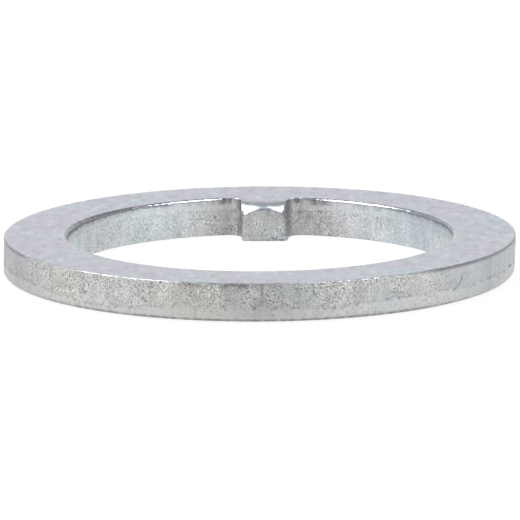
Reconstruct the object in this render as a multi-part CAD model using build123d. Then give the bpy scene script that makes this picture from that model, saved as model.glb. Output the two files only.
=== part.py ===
"""Keyed retaining ring: a flat ring punched from steel plate, with one tab standing into its bore.

The ring lies flat. The origin is on the bore's axis, in the plane of the lower face. +Z is up and
+Y runs from the axis to the tab. All sizes are in millimetres.

A punched wall has three zones, and each is modelled. Where the tool enters, the edge is drawn down
in a roll. Next comes a smooth land, sheared to the tool's size. The rest of the wall is torn. The
bore was punched from above, so its roll is at the upper face. The outside was blanked from below,
so its roll is at the lower face.
"""

import math
import os

from build123d import *

# Overall sizes
outer_diameter = 80.0
bore_diameter = 60.0  # at the smooth land
thickness = 6.1

# Outside wall
outer_roll_width = 1.4
outer_roll_height = 0.8
outer_land_height = 1.6
outer_lean = 0.08  # how far the torn wall leans in at its top, on the radius
upper_edge_radius = 0.12

# Bore wall
bore_roll_width = 0.6
bore_roll_height = 0.5
bore_land_height = 1.4
bore_breakout = 0.3  # how far the torn wall opens at the lower face, on the radius

# The bore's roll runs out before the tab: it leaves the wall along a tighter curve
runout_radius = 5.0
runout_angle = 40.0

# Tab
tab_length = 5.7  # from the bore's land to the tab's end
tab_width = 7.3  # across the end, at the lower face
tab_flare = 2.5  # degrees that each flank opens towards the ring
tab_corner_radius = 0.8
tab_corner_draw = 0.6  # how far the right corner is drawn in at the land
tab_root_radius = 1.5  # between flank and bore, at the land
tab_root_radius_below = 2.2  # the same corner at the lower face
tab_breakout = 0.3  # how far the torn part of the tab's end stands back at the lower face

# The tab's end is drawn down into an arch. Its corners start down first, and its crown follows.
tab_roll_length = 3.0
tab_crown_drop = 0.75
tab_corner_drop = 2.0
tab_roll_steps = 6

overshoot = 1.0  # how far a cutting tool runs past what it cuts
first_contact = 0.01  # how far above a face a tool starts that eases into it

# Derived sizes
outer_radius = outer_diameter / 2
bore_radius = bore_diameter / 2
land_bottom = thickness - bore_roll_height - bore_land_height
tab_end = bore_radius - tab_length
tab_half_width = tab_width / 2
flare_slope = math.tan(math.radians(tab_flare))


def blank():
    """The disc as blanked from below: a roll, a smooth land, then a torn wall that leans in."""
    roll_start = outer_radius - outer_roll_width
    upper_radius = outer_radius - outer_lean
    roll_centre = (roll_start, outer_roll_height)
    roll = EllipticalCenterArc(roll_centre, outer_roll_width, outer_roll_height, -90, arc_size=90)
    wall = Polyline(
        (outer_radius, outer_roll_height),
        (outer_radius, outer_roll_height + outer_land_height),
        (upper_radius, thickness),
        (0, thickness),
        (0, 0),
        (roll_start, 0),
    )
    half_section = make_face(roll + wall)
    upper_corner = half_section.vertices().sort_by_distance((upper_radius, thickness))[0]
    half_section = fillet(upper_corner, upper_edge_radius)
    return revolve(Plane.XZ * half_section, Axis.Z)


def hole_outline(radius, end, corner_draw, root_radius):
    """The bore with the tab standing into it, seen from above."""
    reach = radius - end + overshoot
    half_root = tab_half_width + reach * flare_slope
    tab = Polygon(
        (-tab_half_width, end),
        (tab_half_width - corner_draw, end),
        (half_root, end + reach),
        (-half_root, end + reach),
        align=None,
    )
    outline = Circle(radius) - tab
    ends = outline.vertices().filter_by(lambda corner: abs(corner.Y - end) < first_contact)
    outline = fillet(ends, tab_corner_radius)
    roots = outline.vertices().sort_by(Axis.Y)[-2:]
    return fillet(roots, root_radius)


def hole():
    """What the punch takes out: straight through the roll and the land, then opening downwards."""
    at_land = hole_outline(bore_radius, tab_end, tab_corner_draw, tab_root_radius)
    at_bottom = hole_outline(
        bore_radius + bore_breakout, tab_end + tab_breakout, 0, tab_root_radius_below
    )
    at_land = Pos(0, 0, land_bottom) * at_land
    sheared = extrude(at_land, thickness - land_bottom + overshoot)
    torn = loft([at_bottom, at_land], ruled=True)
    return sheared + torn


def bore_roll():
    """The metal drawn down along the bore's upper edge, from one side of the tab to the other."""
    roll_bottom = thickness - bore_roll_height
    roll_outside = bore_radius + bore_roll_width
    roll = EllipticalCenterArc(
        (roll_outside, roll_bottom), bore_roll_width, bore_roll_height, 90, arc_size=90
    )
    tool_edge = Polyline(
        (bore_radius, roll_bottom),
        (bore_radius - overshoot, roll_bottom),
        (bore_radius - overshoot, thickness + overshoot),
        (roll_outside, thickness + overshoot),
        (roll_outside, thickness),
    )
    tool = Plane.XZ * make_face(roll + tool_edge)
    runout_axis = Axis((bore_radius - runout_radius, 0, 0), (0, 0, 1))
    runout = revolve(tool, runout_axis, runout_angle)

    root_half_width = tab_half_width + tab_length * flare_slope + tab_root_radius
    runout_length = runout_radius * math.sin(math.radians(runout_angle))
    gap = math.degrees(math.asin((root_half_width + runout_length) / bore_radius))
    cut = Rot(0, 0, 90 + gap) * revolve(tool, Axis.Z, 360 - 2 * gap)
    cut += Rot(0, 0, 90 - gap) * runout
    cut += Rot(0, 0, 90 + gap) * mirror(runout, Plane.XZ)
    return cut


def tab_roll_section(share):
    """The tool over the tab's end, cut across where the roll has run that share of its length."""
    half_width = tab_half_width + overshoot
    crown_drop = tab_crown_drop * share**3
    corner_drop = (tab_corner_drop - tab_crown_drop) * share**2
    crown = thickness + 2 * first_contact - crown_drop
    arch_drop = corner_drop * (half_width / tab_half_width) ** 2
    side = crown - first_contact - arch_drop
    arch = ThreePointArc((-half_width, side), (0, crown), (half_width, side))
    tool_edge = Polyline(
        (half_width, side),
        (half_width, thickness + overshoot),
        (-half_width, thickness + overshoot),
        (-half_width, side),
    )
    place = tab_end + tab_roll_length * (1 - share)
    return Plane.XZ.offset(-place) * make_face(arch + tool_edge)


def tab_roll():
    """The metal drawn down over the tab's end. The tool runs one step past the end."""
    return loft([tab_roll_section(step / tab_roll_steps) for step in range(tab_roll_steps + 2)])


ring = blank() - hole() - bore_roll() - tab_roll()

os.makedirs("parts", exist_ok=True)
export_step(ring, "parts/retaining_ring.step")
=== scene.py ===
"""Looks of the keyed retaining ring: punched steel, zinc plated and blue passivated.

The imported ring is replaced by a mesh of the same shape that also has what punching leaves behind:
torn walls, uneven lands, ragged edges and drawn-down rolls. Shape sizes are in millimetres, as in
the ring's drawing, and become metres when the mesh is made. +Y runs from the axis to the tab.
"""

import math

import bpy
import numpy as np
from mathutils import Matrix, Vector, noise
from mathutils.geometry import delaunay_2d_cdt


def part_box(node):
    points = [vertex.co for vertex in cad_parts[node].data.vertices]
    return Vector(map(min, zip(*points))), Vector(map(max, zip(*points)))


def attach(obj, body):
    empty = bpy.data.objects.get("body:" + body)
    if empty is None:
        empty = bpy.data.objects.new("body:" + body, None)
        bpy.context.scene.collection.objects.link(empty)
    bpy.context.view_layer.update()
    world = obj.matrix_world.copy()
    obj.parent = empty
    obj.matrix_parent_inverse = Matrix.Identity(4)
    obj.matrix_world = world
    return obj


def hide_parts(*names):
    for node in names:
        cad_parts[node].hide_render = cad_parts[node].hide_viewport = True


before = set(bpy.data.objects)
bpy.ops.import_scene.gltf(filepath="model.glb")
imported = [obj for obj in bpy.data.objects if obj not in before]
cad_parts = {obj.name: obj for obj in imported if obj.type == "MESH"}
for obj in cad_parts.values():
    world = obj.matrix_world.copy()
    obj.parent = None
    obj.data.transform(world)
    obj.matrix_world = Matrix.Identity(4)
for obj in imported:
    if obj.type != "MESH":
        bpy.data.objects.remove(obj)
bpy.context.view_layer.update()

MM = 0.001
NODE = "retaining_ring"
RING_LOW, RING_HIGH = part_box(NODE)
OUTER_RADIUS = RING_HIGH[0] / MM
THICKNESS = RING_HIGH[2] / MM

# Outside wall, from the lower face up: roll, land, torn wall, edge
OUTER_ROLL_WIDTH = 1.4
OUTER_ROLL_HEIGHT = 0.8
OUTER_LAND_HEIGHT = 1.6
OUTER_LEAN = 0.08
OUTER_EDGE_RADIUS = 0.16

# Bore wall, from the upper face down: roll, land, torn wall, edge
BORE_RADIUS = 30.0
BORE_ROLL_WIDTH = 0.6
BORE_ROLL_HEIGHT = 0.5
BORE_LAND_HEIGHT = 1.4
BORE_BREAKOUT = 0.3
BORE_EDGE_RADIUS = 0.1

# Tab
TAB_LENGTH = 5.7
TAB_HALF_WIDTH = 3.65
TAB_FLARE = math.radians(2.5)
TAB_FLANK_REACH = TAB_LENGTH + 1.0  # how far along the tab its flanks' lines run
TAB_CORNER_RADIUS = 0.8
TAB_CORNER_DRAW = 0.6
TAB_ROOT_RADIUS = 1.5
TAB_ROOT_RADIUS_BELOW = 2.2
TAB_BREAKOUT = 0.3
TAB_ROLL_LENGTH = 3.0
TAB_CROWN_DROP = 0.75
TAB_CORNER_DROP = 2.0

# What the punching left, as heights above and below the clean shape
BURR = 0.04
TORN_DEPTH = 0.12
NOTCH_DEPTH = 0.12

# Where the outside wall differs along its length, in degrees of azimuth from the side opposite the
# tab towards +X. Each has the middle and the width of a hump.
THIN_LAND = (-38.0, 15.0)
RUBBED = (60.0, 15.0)
LEANING = (92.0, 34.0)
LEDGE = (-46.5, 3.6)
# This hump darkens the front of the wall: partly real mottled stain, partly painted shade.
FRONT_STAIN_AND_SHADE = (-3.0, 16.0)
FRONT_STREAKS = (4.0, 9.0)
FRONT_SMUDGE = (-6.0, 9.5)

# Where the painted shade on the outside wall's ends, and the painted dark reflection along its
# upper edge, start and are full, in degrees to the left or right of the front
LEFT_SHADE = (46, 74)
RIGHT_SHADE = (36, 70)
LEFT_EDGE_SHADE = (60, 68)
RIGHT_EDGE_SHADE = (36, 46)

LEAN_IN = 0.35  # how far the foot of the wall leans in where it does so the most
LEAN_TOP = 5.0  # the height at which it stops
LEDGE_DEPTH = 0.16
MARK_DEPTH = 0.05  # of the scratch and of the smudges
SCRATCH_TOP = 4.0
SCRATCH_BOTTOM = 2.2
TOP_STRIP = 0.6  # from the outside wall to where the upper face is flat
SMALLEST_ROLL = 0.16  # along the bore's upper edge, where it has almost no roll

# How finely the walls are divided
OUTER_STATIONS = 1300
WALL_STEP = 0.19
OUTER_ROLL_STEPS = 7
OUTER_EDGE_STEPS = 4
BORE_ROLL_STEPS = 6
TAB_GRID_STEP = 0.25
SUPPORT = 0.25  # a strip of each flat face that belongs to the wall's grid

TAB_END = BORE_RADIUS - TAB_LENGTH
FACE_HEIGHT = THICKNESS - BURR
LAND_BOTTOM = THICKNESS - BORE_ROLL_HEIGHT - BORE_LAND_HEIGHT

# The fourth mark carries real dirt, stains and scratches, and also painted shade along edges,
# rolls, notches and the roll's foot. The fifth carries a real blue tint, and also painted light
# that brightens the bore's wall.
MARKS = ("torn", "sheared", "rolled", "grime", "blued")


def smoothstep(low, high, value):
    """0 at low and 1 at high, with a smooth rise between them. Low may be the greater."""
    share = np.clip((value - low) / (high - low), 0, 1)
    return share * share * (3 - 2 * share)


def hump(value, middle, width):
    """1 in the middle, falling away on both sides."""
    return np.exp(-(((value - middle) / width) ** 2))


def noise_at(points, size, seed=0.0, octaves=1):
    """Noise from about -1 to 1 at points in millimetres, with features about size across."""
    shift = Vector((seed, 1.7 * seed, -seed))
    if octaves == 1:
        return np.array([noise.noise(Vector(p) / size + shift) for p in points])
    return np.array([noise.fractal(Vector(p) / size + shift, 0.7, 2.1, octaves) for p in points])


# Bore outline


def arc(centre, radius, first, last, count):
    """Points along an arc and their outward directions, with angles measured from +Y towards +X."""
    angles = np.linspace(first, last, count, endpoint=False)
    out = np.stack([np.sin(angles), np.cos(angles)], axis=1)
    return centre + radius * out, out


def line(start, end, count):
    shares = np.linspace(0, 1, count, endpoint=False)[:, None]
    return start + (end - start) * shares


def outline_side(radius, end, corner_x, root_radius):
    """The outline from the middle of the tab's end, down its right flank, to the bore's far side.

    Gives the points and the direction at each one that leads into the hole. The count of points
    doesn't depend on the sizes, so two outlines match point for point.
    """
    root_x = TAB_HALF_WIDTH + TAB_FLANK_REACH * math.tan(TAB_FLARE)
    flare = math.atan2(root_x - corner_x, TAB_FLANK_REACH)
    flank = np.array([math.sin(flare), math.cos(flare)])
    off_flank = np.array([math.cos(flare), -math.sin(flare)])
    sharp_corner = np.array([corner_x, end])

    corner_run = TAB_CORNER_RADIUS * (1 - math.sin(flare)) / math.cos(flare)
    corner_centre = sharp_corner + flank * corner_run - off_flank * TAB_CORNER_RADIUS

    # The root's centre lies root_radius off the flank and root_radius inside the bore.
    base = sharp_corner + off_flank * root_radius
    along = base @ flank
    root_run = math.sqrt(along**2 + (radius - root_radius) ** 2 - base @ base) - along
    root_centre = base + flank * root_run
    root_angle = math.atan2(root_centre[0], root_centre[1])

    end_count, corner_count, flank_count, root_count, bore_count = 18, 10, 20, 14, 420
    tip = np.array([0.0, end])
    tip_end = np.array([corner_centre[0], end])
    flank_start = corner_centre + off_flank * TAB_CORNER_RADIUS
    flank_end = sharp_corner + flank * root_run

    parts = [line(tip, tip_end, end_count)]
    ways = [np.tile([0.0, -1.0], (end_count, 1))]
    corner, corner_way = arc(
        corner_centre, TAB_CORNER_RADIUS, math.pi, math.pi / 2 + flare, corner_count
    )
    parts.append(corner)
    ways.append(corner_way)
    parts.append(line(flank_start, flank_end, flank_count))
    ways.append(np.tile(off_flank, (flank_count, 1)))
    root, root_way = arc(root_centre, root_radius, flare - math.pi / 2, root_angle, root_count)
    parts.append(root)
    ways.append(-root_way)
    bore, bore_way = arc(np.zeros(2), radius, root_angle, math.pi, bore_count)
    parts.append(bore)
    ways.append(-bore_way)
    return np.concatenate(parts), np.concatenate(ways)


def bore_outline(radius, end, corner_draw, root_radius):
    """The bore's outline, seen from above, and the direction at each point into the hole."""
    right, right_ways = outline_side(radius, end, TAB_HALF_WIDTH - corner_draw, root_radius)
    left, left_ways = outline_side(radius, end, TAB_HALF_WIDTH, root_radius)
    mirror = np.array([-1.0, 1.0])
    points = np.concatenate([right, [[0.0, -radius]], (left * mirror)[:0:-1]])
    into_hole = np.concatenate([right_ways, [[0.0, 1.0]], (left_ways * mirror)[:0:-1]])
    return points, into_hole


def tab_drop(points):
    """How far the upper face is drawn down at points on the tab."""
    share = np.clip((TAB_END + TAB_ROLL_LENGTH - points[:, 1]) / TAB_ROLL_LENGTH, 0, 1.1)
    near_tab = (np.abs(points[:, 0]) < 2 * TAB_HALF_WIDTH) & (points[:, 1] > 0)
    across = (points[:, 0] / TAB_HALF_WIDTH) ** 2
    drop = TAB_CROWN_DROP * share**3 + (TAB_CORNER_DROP - TAB_CROWN_DROP) * share**2 * across
    return np.where(near_tab, drop, 0.0)


# Walls


class Wall:
    """Rows of points from the lower face to the upper one, with marks that the material reads."""

    def __init__(self, count):
        self.count = count
        self.rows = []
        self.marks = []

    def add(self, points, height, **marks):
        height = np.broadcast_to(height, (self.count,))
        self.rows.append(np.column_stack([points, height]))
        self.marks.append([np.broadcast_to(marks.get(name, 0.0), (self.count,)) for name in MARKS])

    def grids(self):
        return np.array(self.rows), np.array(self.marks)


class OuterWall(Wall):
    """The outside wall, and what differs along its length."""

    def __init__(self):
        super().__init__(OUTER_STATIONS)
        angles = np.linspace(0, 2 * math.pi, OUTER_STATIONS, endpoint=False)
        self.out = np.stack([np.sin(angles), np.cos(angles)], axis=1)
        self.azimuth = np.degrees(np.arctan2(self.out[:, 0], -self.out[:, 1]))
        self.on_circle = np.column_stack([self.out * OUTER_RADIUS, np.zeros(OUTER_STATIONS)])
        self.rubbed = hump(self.azimuth, *RUBBED)
        self.leaning = LEAN_IN * hump(self.azimuth, *LEANING)
        self.chipped = np.clip(0.5 + 0.7 * noise_at(self.on_circle, 0.9, 4, 2), 0, 1)
        # Painted dark reflection along the upper edge, towards the left and right ends.
        self.painted_edge_shade = smoothstep(*LEFT_EDGE_SHADE, -self.azimuth)
        self.painted_edge_shade = self.painted_edge_shade + smoothstep(*RIGHT_EDGE_SHADE, self.azimuth)
        self.stain_and_shade = self.stains_and_shade()
        self.land_top = self.uneven_land_top()
        self.wall_top = THICKNESS - OUTER_EDGE_RADIUS
        self.top_radius = OUTER_RADIUS - OUTER_LEAN - TORN_DEPTH * 0.4

    def stains_and_shade(self):
        # Darker at the front, partly real stain and partly painted shade, and painted shade towards
        # the left and right ends, made blotchy by noise.
        stain_and_shade = 0.27 * hump(self.azimuth, *FRONT_STAIN_AND_SHADE)
        stain_and_shade = stain_and_shade + 0.55 * smoothstep(*LEFT_SHADE, -self.azimuth)
        stain_and_shade = stain_and_shade + 0.3 * smoothstep(*RIGHT_SHADE, self.azimuth)
        return stain_and_shade * (1 + 0.8 * noise_at(self.on_circle, 5.0, 19, 2))

    def uneven_land_top(self):
        thinned = OUTER_LAND_HEIGHT * (1 - 0.85 * hump(self.azimuth, *THIN_LAND))
        slow = 0.4 * noise_at(self.on_circle, 22.0, 1) + 0.3 * noise_at(self.on_circle, 6.0, 8)
        return OUTER_ROLL_HEIGHT + thinned + slow + 0.3 * noise_at(self.on_circle, 1.4, 2, 3)

    def add_ring(self, radius, height, **marks):
        lean_in = self.leaning * np.clip(1 - height / LEAN_TOP, 0, 1)
        self.add(self.out * np.reshape(radius - lean_in, (-1, 1)), height, **marks)

    def add_roll(self):
        """The drawn-down lower edge, with a ragged line of painted shade along its foot."""
        scale = 1 + 0.12 * noise_at(self.on_circle, 14.0, 3)
        # Painted shade: a dark, ragged line along the roll's foot, where it meets the floor.
        foot_shade = np.clip(0.8 + 0.9 * noise_at(self.on_circle, 0.9, 9, 2), 0, 1)
        flat_radius = OUTER_RADIUS - OUTER_ROLL_WIDTH * 1.15 - SUPPORT
        self.add_ring(np.full(OUTER_STATIONS, flat_radius), 0.0)
        for step in range(OUTER_ROLL_STEPS):
            turn = math.pi / 2 * step / OUTER_ROLL_STEPS
            radius = OUTER_RADIUS - OUTER_ROLL_WIDTH * scale * (1 - math.sin(turn))
            height = OUTER_ROLL_HEIGHT * (1 - math.cos(turn))
            marks = {
                "sheared": math.sin(turn),
                "rolled": 0.5,
                "grime": np.maximum(self.stain_and_shade, foot_shade * smoothstep(0.75, 0.38, height)),
                "blued": 0.5 * self.rubbed,
            }
            self.add_ring(radius, height, **marks)

    def notch(self, here, above_land):
        """Small notches where the land ends."""
        picked = np.clip(noise_at(here, 0.55, 7, 2) * 3 - 0.6, 0, 1)
        return hump(above_land, 0.0, 0.25) * picked

    def ledge(self, height):
        """A short step that stands out under the torn metal on the left."""
        rise = smoothstep(2.35, 2.6, height) * smoothstep(4.2, 2.6, height)
        return hump(self.azimuth, *LEDGE) * rise

    def smudge(self, here, height):
        """Dark smudges under the upper edge at the front."""
        picked = np.clip(0.55 + noise_at(here, 1.0, 9, 2) * 3, 0, 1)
        return hump(self.azimuth, *FRONT_SMUDGE) * smoothstep(5.2, 5.7, height) * picked

    def scratch(self, height):
        """A curved scratch down the right: 1 in its middle, 0 away from it."""
        fallen = np.clip((SCRATCH_TOP - height) / (SCRATCH_TOP - SCRATCH_BOTTOM), 0, 1)
        above_end = smoothstep(SCRATCH_BOTTOM - 0.2, SCRATCH_BOTTOM + 0.1, height)
        below_start = smoothstep(SCRATCH_TOP + 0.4, SCRATCH_TOP, height)
        return hump(self.azimuth, 52.3 - 3.0 * fallen**2, 0.25) * (above_end * below_start)

    def add_wall(self):
        """The smooth land, and the torn metal above it."""
        picked = np.clip(noise_at(self.on_circle, 1.0, 20, 2), 0, 0.35)
        streak = hump(self.azimuth, *FRONT_STREAKS) * picked
        count = round((self.wall_top - OUTER_ROLL_HEIGHT) / WALL_STEP)
        for height in np.linspace(OUTER_ROLL_HEIGHT, self.wall_top, count):
            above_land = height - self.land_top
            torn = smoothstep(-0.05, 0.18, above_land) * (1 - 0.7 * self.rubbed)
            here = self.on_circle + np.array([0, 0, height])
            relief = 0.45 + 0.45 * noise_at(here, 0.5, 5, 3) + 0.3 * noise_at(here, 2.2, 6, 2)
            notch = self.notch(here, above_land)
            smudge = self.smudge(here, height)
            scratch = self.scratch(height)
            # Painted dark reflection carried just under the upper edge, towards the left and right
            # ends.
            shade_under_edge = 0.9 * self.painted_edge_shade * smoothstep(5.45, 5.8, height)

            climbed = (height - OUTER_ROLL_HEIGHT) / (self.wall_top - OUTER_ROLL_HEIGHT)
            inset = OUTER_LEAN * climbed + torn * np.clip(TORN_DEPTH * relief, 0, None)
            inset = inset + NOTCH_DEPTH * notch + LEDGE_DEPTH * self.ledge(height)
            inset = inset + MARK_DEPTH * (smudge + scratch)
            # Darkening here is partly real marks (smudges, the scratch, streaks, stains) and partly
            # painted shade: in the notches, just under the upper edge, and towards the wall's ends.
            dirt_and_shade = 0.6 * notch + smudge + scratch + self.stain_and_shade + streak * torn + shade_under_edge
            marks = {
                "torn": torn,
                "sheared": 1 - torn,
                "grime": np.clip(dirt_and_shade, 0, 1),
                "blued": 0.5 * self.rubbed,
            }
            self.add_ring(OUTER_RADIUS - inset, height, **marks)

    def add_edge(self):
        """The upper edge, chipped in places, and the strip of the upper face beside it."""
        # Dark spots at random along the edge, and painted dark reflection along it towards the left
        # and right ends.
        sparse = np.clip(2.8 * noise_at(self.on_circle, 0.7, 10, 2), 0, 0.9)
        dirt_and_shade = np.maximum(self.painted_edge_shade, sparse)
        top = FACE_HEIGHT + BURR * self.chipped - 0.04 * (1 - self.chipped)
        for step in range(1, OUTER_EDGE_STEPS + 1):
            turn = math.pi / 2 * step / OUTER_EDGE_STEPS
            chip = self.chipped * (0.14 * math.sin(turn))
            radius = self.top_radius - OUTER_EDGE_RADIUS * (1 - math.cos(turn)) - chip
            height = self.wall_top + (top - self.wall_top) * math.sin(turn)
            fading = math.cos(turn) ** 0.5 if step < OUTER_EDGE_STEPS else 0.0
            self.add_ring(radius, height, rolled=0.8, grime=dirt_and_shade * fading)
        for inwards in (TOP_STRIP, TOP_STRIP + SUPPORT):
            self.add_ring(np.full(OUTER_STATIONS, self.top_radius - inwards), FACE_HEIGHT)


def outer_wall():
    wall = OuterWall()
    wall.add_roll()
    wall.add_wall()
    wall.add_edge()
    return wall.grids()


class BoreWall(Wall):
    """The bore's wall and the tab's. The angle runs in degrees from the tab towards +X."""

    def __init__(self):
        self.land, self.into_hole = bore_outline(
            BORE_RADIUS, TAB_END, TAB_CORNER_DRAW, TAB_ROOT_RADIUS
        )
        self.below, _ = bore_outline(
            BORE_RADIUS + BORE_BREAKOUT, TAB_END + TAB_BREAKOUT, 0.0, TAB_ROOT_RADIUS_BELOW
        )
        super().__init__(len(self.land))
        self.on_land = np.column_stack([self.land, np.zeros(self.count)])
        self.angle = np.degrees(np.arctan2(self.land[:, 0], self.land[:, 1]))
        self.from_tab = np.abs(self.angle)
        self.far_from_tab = smoothstep(9.5, 15.0, self.from_tab)
        # A real blue tint, and painted light: the bore's wall is bluer and brighter away from the
        # tab.
        self.blued = smoothstep(10, 34, self.from_tab)

        share = self.roll_share()
        self.roll_width = np.maximum(BORE_ROLL_WIDTH * share, SMALLEST_ROLL)
        self.roll_height = np.maximum(BORE_ROLL_HEIGHT * share, SMALLEST_ROLL)
        self.wall_top = FACE_HEIGHT - tab_drop(self.land) - self.roll_height
        self.land_bottom = self.uneven_land_bottom()
        # Painted shade along the bore's upper roll, on the left and on the right.
        self.roll_shade = smoothstep(27, 33, -self.angle) * (1 - 0.3 * hump(self.angle, -40.0, 14.0))
        self.roll_shade = self.roll_shade + 0.7 * smoothstep(36, 42, self.angle)
        self.chips = self.chips_by_the_tab()

    def roll_share(self):
        """The roll's size as a share of its mean one.

        It runs out before the tab's roots, and the tab has its own, which the drop makes. It is
        widest on the left and slight on the side opposite the tab.
        """
        uneven = 1 + 0.22 * noise_at(self.on_land, 6.0, 11)
        uneven = uneven + 0.2 * noise_at(self.on_land, 1.2, 12, 2)
        share = self.far_from_tab * uneven * (1 + 0.4 * smoothstep(45, 80, -self.angle))
        return share * (1 - 0.65 * smoothstep(92, 115, self.from_tab))

    def uneven_land_bottom(self):
        lowest = np.minimum(LAND_BOTTOM, self.wall_top - 0.6)
        slow = 0.25 * noise_at(self.on_land, 7.0, 13)
        return lowest + slow + 0.3 * noise_at(self.on_land, 1.4, 14, 3)

    def chips_by_the_tab(self):
        places = hump(self.angle, -12.5, 2.6) + hump(self.angle, 16.6, 2.0)
        places = places + hump(self.angle, 9.6, 0.8) + 0.25
        picked = np.clip(0.4 + 2.4 * noise_at(self.on_land, 0.9, 17, 3), 0, 1.2)
        return np.clip(places * picked, 0, 1)

    def add_foot(self):
        """The edge at the lower face, and the strip of that face beside it."""
        self.add(self.below - self.into_hole * (BORE_EDGE_RADIUS + SUPPORT), 0.0)
        self.add(self.below - self.into_hole * BORE_EDGE_RADIUS, 0.0)
        edge = self.below - self.into_hole * BORE_EDGE_RADIUS * 0.3
        self.add(edge, BORE_EDGE_RADIUS * 0.3, torn=0.5, blued=self.blued)

    def add_wall(self):
        """The torn metal, and the smooth land above it."""
        # How far down the wall the roll's painted shade reaches.
        roll_shade_depth = 0.1 + 0.4 * np.clip(0.5 + noise_at(self.on_land, 0.8, 18, 3), 0, 1)
        roll_shade_depth = roll_shade_depth * (0.3 + 0.7 * smoothstep(40, 75, self.from_tab))
        # Painted shade on the walls next to the tab, strongest where they face along its line.
        tab_shade = 0.18 * (1 - smoothstep(8, 22, self.from_tab)) * np.abs(self.into_hole[:, 1])
        count = round((FACE_HEIGHT - BORE_ROLL_HEIGHT) / WALL_STEP)
        for share in np.linspace(0, 1, count):
            height = BORE_EDGE_RADIUS + (self.wall_top - BORE_EDGE_RADIUS) * share
            rise = np.clip(height / LAND_BOTTOM, 0, 1)[:, None]
            clean = self.below + (self.land - self.below) * rise
            torn = smoothstep(-0.05, 0.18, self.land_bottom - height)
            here = np.column_stack([clean, height])
            relief = 0.35 + 0.45 * noise_at(here, 0.5, 15, 3) + 0.3 * noise_at(here, 2.0, 16, 2)
            near_top = smoothstep(1.0, 0.5, (self.wall_top - height) / roll_shade_depth)
            chipped = self.chips * smoothstep(0.7, 0.3, self.wall_top - height)

            inset = torn * np.clip(TORN_DEPTH * relief, 0, None) + 0.1 * chipped
            marks = {
                "torn": torn,
                "sheared": 1 - torn,
                "grime": np.clip(self.roll_shade * near_top + chipped + tab_shade, 0, 1),
                "blued": self.blued,
            }
            self.add(clean - self.into_hole * inset[:, None], height, **marks)

    def add_roll(self):
        """The drawn-down upper edge, and the strip of the upper face beside it."""
        # Painted shade: a dark line along the edge of the tab's drawn-down end.
        tab_edge_shade = 0.7 * smoothstep(7.5, 6.5, self.from_tab)
        dirt_and_shade = np.clip(self.roll_shade + tab_edge_shade + self.chips, 0, 1)
        for step in range(1, BORE_ROLL_STEPS + 1):
            turn = math.pi / 2 * step / BORE_ROLL_STEPS
            inset = self.roll_width * (1 - math.cos(turn)) + 0.1 * self.chips * math.cos(turn)
            height = self.wall_top + self.roll_height * math.sin(turn)
            marks = {
                "rolled": self.far_from_tab,
                "grime": dirt_and_shade * smoothstep(1.0, 0.9, math.sin(turn)),
            }
            self.add(self.land - self.into_hole * inset[:, None], height, **marks)
        edge = self.land - self.into_hole * (self.roll_width + SUPPORT)[:, None]
        self.add(edge, FACE_HEIGHT - tab_drop(edge))


def bore_wall():
    wall = BoreWall()
    wall.add_foot()
    wall.add_wall()
    wall.add_roll()
    return wall.grids()


# Mesh


def inside(points, outline):
    """Which points lie inside a closed outline, by counting the sides that a ray crosses."""
    x, y = points[:, :1], points[:, 1:2]
    x1, y1 = outline[:, 0], outline[:, 1]
    x2, y2 = np.roll(x1, -1), np.roll(y1, -1)
    crosses = (y1 > y) != (y2 > y)
    with np.errstate(divide="ignore", invalid="ignore"):
        at = x1 + (y - y1) * (x2 - x1) / (y2 - y1)
    return (crosses & (x < at)).sum(axis=1) % 2 == 1


def flat_face(outer_loop, inner_loop, extra):
    """Triangles between two loops, given as rows of x and y. Extra points are kept too."""
    coords = np.concatenate([outer_loop, inner_loop, extra])
    first, second = len(outer_loop), len(inner_loop)
    edges = [(i, (i + 1) % first) for i in range(first)]
    edges += [(first + i, first + (i + 1) % second) for i in range(second)]
    found = delaunay_2d_cdt([Vector(p) for p in coords], edges, [], 0, 1e-6, True)
    triangles = np.array([[found[3][corner][0] for corner in face] for face in found[2]])
    centres = coords[triangles].mean(axis=1)
    keep = inside(centres, outer_loop) & ~inside(centres, inner_loop)
    return triangles[keep]


def grid_faces(rows, columns, flip):
    """Quads of a grid that closes on itself along its columns."""
    at = np.arange(rows * columns).reshape(rows, columns)
    after = np.roll(at, -1, axis=1)
    quads = np.stack([at[:-1], after[:-1], after[1:], at[1:]], axis=-1).reshape(-1, 4)
    return quads[:, ::-1] if flip else quads


def tab_grid():
    """Points on the tab's upper face, close enough together to carry its drawn-down end."""
    points = []
    for y in np.arange(TAB_END + 0.55, TAB_END + TAB_ROLL_LENGTH + 0.6, TAB_GRID_STEP):
        drawn_in = TAB_CORNER_DRAW * (1 - (y - TAB_END) / TAB_FLANK_REACH)
        right = TAB_HALF_WIDTH - drawn_in - 0.45
        for x in np.arange(-TAB_HALF_WIDTH + 0.5, right, TAB_GRID_STEP):
            points.append((x, y))
    return np.array(points)


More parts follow.
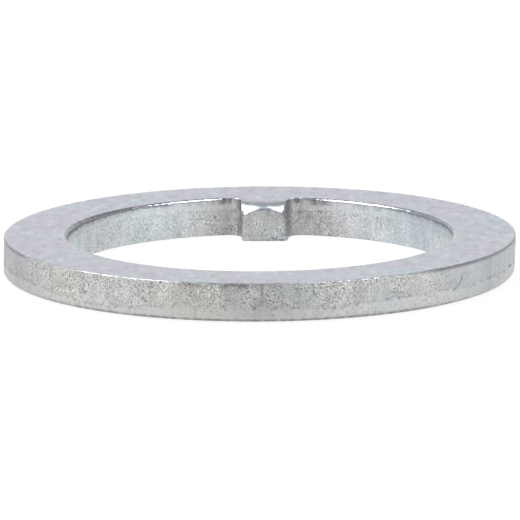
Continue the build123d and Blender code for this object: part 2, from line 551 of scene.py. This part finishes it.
def build_ring():
    """The ring's mesh: two wall grids, joined by triangles across the upper and the lower face."""
    outer, outer_marks = outer_wall()
    bore, bore_marks = bore_wall()
    outer_rows, outer_count = outer.shape[:2]
    bore_rows, bore_count = bore.shape[:2]
    extra = tab_grid()
    extra_points = np.column_stack([extra, FACE_HEIGHT - tab_drop(extra)])
    points = np.concatenate([outer.reshape(-1, 3), bore.reshape(-1, 3), extra_points])
    bore_start = outer_rows * outer_count
    extra_start = bore_start + bore_rows * bore_count

    faces = grid_faces(outer_rows, outer_count, flip=True).tolist()
    faces += (grid_faces(bore_rows, bore_count, flip=False) + bore_start).tolist()

    def face_ids(outer_row, bore_row):
        return np.concatenate(
            [
                outer_row * outer_count + np.arange(outer_count),
                bore_start + bore_row * bore_count + np.arange(bore_count),
                extra_start + np.arange(len(extra)),
            ]
        )

    upper = flat_face(outer[-1][:, :2], bore[-1][:, :2], extra)
    faces += face_ids(outer_rows - 1, bore_rows - 1)[upper].tolist()
    lower = flat_face(outer[0][:, :2], bore[0][:, :2], np.empty((0, 2)))
    faces += face_ids(0, 0)[lower[:, ::-1]].tolist()

    mesh = bpy.data.meshes.new("ring_visual")
    mesh.from_pydata((points * MM).tolist(), [], faces)
    mesh.validate()
    mesh.shade_smooth()
    none = np.zeros(len(extra))
    for index, name in enumerate(MARKS):
        values = np.concatenate([outer_marks[:, index].ravel(), bore_marks[:, index].ravel(), none])
        mesh.attributes.new(name, "FLOAT", "POINT").data.foreach_set("value", values)
    ring = bpy.data.objects.new("punched_ring", mesh)
    bpy.context.scene.collection.objects.link(ring)
    return ring


# Materials


class Nodes:
    """Adds nodes to a material or world, and links them."""

    def __init__(self, owner):
        owner.use_nodes = True
        self.tree = owner.node_tree
        self.tree.nodes.clear()

    def add(self, kind, settings=None, **inputs):
        node = self.tree.nodes.new(kind)
        for name, value in (settings or {}).items():
            setattr(node, name, value)
        for name, value in inputs.items():
            self.put(node, name.replace("_", " "), value)
        return node

    def put(self, node, name, value):
        socket = node.inputs[int(name)] if name.isdigit() else node.inputs[name]
        if isinstance(value, bpy.types.NodeSocket):
            self.tree.links.new(value, socket)
        else:
            socket.default_value = value

    def math(self, operation, first, second=0.0, clamp=False):
        node = self.tree.nodes.new("ShaderNodeMath")
        node.operation = operation
        node.use_clamp = clamp
        self.put(node, "0", first)
        self.put(node, "1", second)
        return node.outputs[0]

    def ramp(self, factor, *stops):
        """A colour ramp from (place, colour or grey level) stops."""
        node = self.tree.nodes.new("ShaderNodeValToRGB")
        self.put(node, "Fac", factor)
        elements = node.color_ramp.elements
        while len(elements) < len(stops):
            elements.new(0.5)
        for element, (place, colour) in zip(elements, stops):
            element.position = place
            rgb = colour if isinstance(colour, tuple) else (colour,) * 3
            element.color = (*rgb, 1.0)
        return node.outputs["Color"]

    def mix(self, factor, first, second, blend="MIX"):
        node = self.tree.nodes.new("ShaderNodeMix")
        node.data_type = "RGBA"
        node.blend_type = blend
        self.put(node, "0", factor)
        self.put(node, "6", first)
        self.put(node, "7", second)
        return node.outputs[2]


def zinc_material():
    material = bpy.data.materials.new("zinc_plated_steel")
    nodes = Nodes(material)
    place = nodes.add("ShaderNodeTexCoord").outputs["Object"]
    torn, sheared, rolled, grime, blued = [
        nodes.add("ShaderNodeAttribute", {"attribute_name": name}).outputs["Fac"] for name in MARKS
    ]

    def noise_node(scale, detail=2.0, stretch=(1, 1, 1), rough=0.5):
        mapped = nodes.add("ShaderNodeMapping", Vector=place, Scale=stretch).outputs["Vector"]
        node = nodes.add(
            "ShaderNodeTexNoise", Vector=mapped, Scale=scale, Detail=detail, Roughness=rough
        )
        return node.outputs["Fac"]

    # Blue passivation: faint lilac, blue and green clouds over grey, with a few dull dashes
    tint = nodes.ramp(
        noise_node(130, 6, rough=0.65),
        (0.32, (0.44, 0.485, 0.52)),
        (0.42, (0.39, 0.445, 0.485)),
        (0.50, (0.425, 0.435, 0.48)),
        (0.57, (0.41, 0.40, 0.48)),
        (0.68, (0.445, 0.46, 0.465)),
    )
    mottling = nodes.ramp(
        noise_node(520, 5, (1.3, 0.6, 1), 0.7),
        (0.32, 0.72),
        (0.45, 0.96),
        (0.55, 1.02),
        (0.68, 1.24),
    )
    dashes = nodes.ramp(noise_node(620, 3, (0.5, 1.0, 1)), (0.27, 0.70), (0.36, 1.0))
    face_colour = nodes.mix(1.0, tint, mottling, "MULTIPLY")
    face_colour = nodes.mix(1.0, face_colour, dashes, "MULTIPLY")

    # Walls: duller and warmer, cooler in places, and brighter there too: a real blue tint with
    # painted light on the bore's wall. Torn metal has dark pits and bright grains.
    wall_tint = nodes.ramp(
        noise_node(60, 3),
        (0.35, (0.56, 0.555, 0.53)),
        (0.50, (0.55, 0.55, 0.54)),
        (0.62, (0.53, 0.55, 0.56)),
    )
    cool_tint_and_painted_light = nodes.ramp(
        noise_node(110, 3),
        (0.36, (0.61, 0.66, 0.70)),
        (0.50, (0.62, 0.68, 0.69)),
        (0.60, (0.645, 0.66, 0.69)),
    )
    wall_tint = nodes.mix(blued, wall_tint, cool_tint_and_painted_light)
    pits = nodes.ramp(
        noise_node(3600, 3, rough=0.6), (0.34, 0.30), (0.44, 0.86), (0.52, 1.0), (0.66, 1.5)
    )
    grainy = nodes.ramp(noise_node(330, 3), (0.38, 0.45), (0.58, 1.0))
    grainy = nodes.mix(nodes.math("MULTIPLY", blued, 0.35), grainy, (0, 0, 0, 1))
    pits = nodes.mix(grainy, (1, 1, 1, 1), pits)
    patches = nodes.ramp(noise_node(420, 3, (1, 1, 0.5), 0.6), (0.32, 0.84), (0.68, 1.12))
    torn_colour = nodes.mix(1.0, wall_tint, pits, "MULTIPLY")
    torn_colour = nodes.mix(1.0, torn_colour, patches, "MULTIPLY")
    specks = nodes.ramp(noise_node(2700, 4, rough=0.7), (0.32, 0.45), (0.42, 0.95), (0.7, 1.14))
    drag = nodes.ramp(noise_node(1500, 2, (1, 1, 0.12)), (0.3, 0.95), (0.7, 1.04))
    land_colour = nodes.mix(1.0, wall_tint, specks, "MULTIPLY")
    land_colour = nodes.mix(1.0, land_colour, drag, "MULTIPLY")
    colour = nodes.mix(sheared, face_colour, land_colour)
    colour = nodes.mix(torn, colour, torn_colour)
    # Darkened by real dirt and scratches, and by painted shade along edges, rolls, notches and the
    # roll's foot.
    colour = nodes.mix(nodes.math("MULTIPLY", grime, 0.8), colour, (0.165, 0.17, 0.195, 1))

    roughness = nodes.math("MULTIPLY_ADD", torn, 0.05)
    roughness.node.inputs[2].default_value = 0.34
    roughness = nodes.math("SUBTRACT", roughness, nodes.math("MULTIPLY", rolled, 0.08))

    # Fine relief: grains where torn, faint rolling marks elsewhere
    grains = noise_node(4200, 3, rough=0.65)
    marks = noise_node(2400, 3, (0.35, 1, 1))
    grain_depth = nodes.math("MULTIPLY", grains, torn)
    relief = nodes.math("ADD", nodes.math("MULTIPLY", marks, 0.03), grain_depth)
    bump = nodes.add("ShaderNodeBump", Strength=1.0, Distance=0.00012, Height=relief)

    shader = nodes.add(
        "ShaderNodeBsdfPrincipled",
        Base_Color=colour,
        Metallic=1.0,
        Roughness=roughness,
        Normal=bump.outputs["Normal"],
    )
    nodes.add("ShaderNodeOutputMaterial", Surface=shader.outputs[0])
    return material


# Floor, light and camera

FLOOR_WIDTH = 6.0  # in metres
FLOOR_WHITE_SEEN = 0.9  # how much of the floor is plain white to the camera
FLOOR_WHITE_MIRRORED = 0.8  # and in the metal
STUDIO_LEVEL = 1.12  # the backdrop's strength on the ring, where the camera's own is 1

CAMERA_DISTANCE = 30  # in outer radii
CAMERA_AZIMUTH = math.radians(1.75)
CAMERA_ELEVATION = math.radians(11.2)
CAMERA_ROLL = math.radians(-0.33)
WIDTH_SEEN = 2.029  # the picture's width at the ring, in outer radii
AIM_DROP = 1.21  # how far below the ring's middle the camera aims


def add_floor():
    """A pale floor. The camera sees it as white, apart from the ring's faint shadow."""
    mesh = bpy.data.meshes.new("floor")
    half = FLOOR_WIDTH / 2
    corners = [(-half, -half, 0), (half, -half, 0), (half, half, 0), (-half, half, 0)]
    mesh.from_pydata(corners, [], [(0, 1, 2, 3)])
    floor = bpy.data.objects.new("floor", mesh)
    bpy.context.scene.collection.objects.link(floor)
    material = bpy.data.materials.new("white_floor")
    nodes = Nodes(material)
    rays = nodes.add("ShaderNodeLightPath").outputs
    seen = nodes.math("MULTIPLY", rays["Is Camera Ray"], FLOOR_WHITE_SEEN)
    mirrored = nodes.math("MAXIMUM", rays["Is Glossy Ray"], rays["Is Transmission Ray"])
    mirrored = nodes.math("MULTIPLY", mirrored, FLOOR_WHITE_MIRRORED)
    white = nodes.math("ADD", seen, mirrored, clamp=True)
    paint = nodes.add("ShaderNodeBsdfDiffuse", Color=(0.8, 0.8, 0.8, 1)).outputs[0]
    glow = nodes.add("ShaderNodeEmission", Color=(1, 1, 1, 1), Strength=1.0).outputs[0]
    mixed = nodes.tree.nodes.new("ShaderNodeMixShader")
    nodes.put(mixed, "0", white)
    nodes.put(mixed, "1", paint)
    nodes.put(mixed, "2", glow)
    nodes.add("ShaderNodeOutputMaterial", Surface=mixed.outputs[0])
    mesh.materials.append(material)


def add_world():
    """A pale studio: brightest low at the back, dimmer overhead and behind the camera."""
    world = bpy.data.worlds.new("studio")
    bpy.context.scene.world = world
    nodes = Nodes(world)
    way = nodes.add("ShaderNodeTexCoord").outputs["Generated"]
    split = nodes.add("ShaderNodeSeparateXYZ", Vector=way).outputs
    by_height = nodes.ramp(split["Z"], (0.0, 1.0), (0.40, 1.0), (0.60, 0.52), (1.0, 0.3))
    towards_back = nodes.math("MULTIPLY_ADD", split["Y"], 0.5)
    towards_back.node.inputs[2].default_value = 0.5
    by_depth = nodes.ramp(towards_back, (0.0, 0.3), (0.12, 1.0), (1.0, 1.0))
    level = nodes.mix(1.0, by_height, by_depth, "MULTIPLY")
    rays = nodes.add("ShaderNodeLightPath").outputs
    colour = nodes.mix(rays["Is Camera Ray"], level, (1, 1, 1, 1))
    strength = nodes.math("MULTIPLY_ADD", rays["Is Camera Ray"], 1 - STUDIO_LEVEL)
    strength.node.inputs[2].default_value = STUDIO_LEVEL
    background = nodes.add("ShaderNodeBackground", Color=colour, Strength=strength).outputs[0]
    nodes.add("ShaderNodeOutputWorld", Surface=background)


def add_softbox(name, place, size, power):
    """An area light that faces the ring."""
    light = bpy.data.lights.new(name, "AREA")
    light.shape = "RECTANGLE"
    light.size, light.size_y = size
    light.energy = power
    lamp = bpy.data.objects.new(name, light)
    lamp.location = place
    lamp.rotation_euler = (-Vector(place)).to_track_quat("-Z", "Y").to_euler()
    bpy.context.scene.collection.objects.link(lamp)


def add_camera():
    """A long lens, a little above the ring and a little to the right of the tab's line."""
    distance = CAMERA_DISTANCE * OUTER_RADIUS * MM
    away = Vector(
        (
            math.sin(CAMERA_AZIMUTH) * math.cos(CAMERA_ELEVATION),
            -math.cos(CAMERA_AZIMUTH) * math.cos(CAMERA_ELEVATION),
            math.sin(CAMERA_ELEVATION),
        )
    )
    turn = (-away).to_track_quat("-Z", "Y").to_matrix()
    centre = Vector((0, 0, THICKNESS / 2 * MM))
    aim = centre - turn @ Vector((0, AIM_DROP * MM, 0))
    camera = bpy.data.cameras.new("camera")
    camera.sensor_width = 36
    camera.lens = camera.sensor_width * distance / (WIDTH_SEEN * OUTER_RADIUS * MM)
    camera.clip_end = 20
    viewer = bpy.data.objects.new("camera", camera)
    viewer.matrix_world = (
        Matrix.Translation(aim + away * distance)
        @ turn.to_4x4()
        @ Matrix.Rotation(CAMERA_ROLL, 4, "Z")
    )
    bpy.context.scene.collection.objects.link(viewer)
    bpy.context.scene.camera = viewer


ring = build_ring()
ring.data.materials.append(zinc_material())
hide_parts(NODE)
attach(ring, "root")

add_floor()
add_world()
add_softbox("left_softbox", (-0.68, 0.14, 1.0), (0.62, 0.6), 17.0)
add_softbox("right_softbox", (0.46, 0.0, 1.0), (0.26, 0.6), 8.0)
add_camera()
bpy.context.scene.view_settings.view_transform = "Standard"
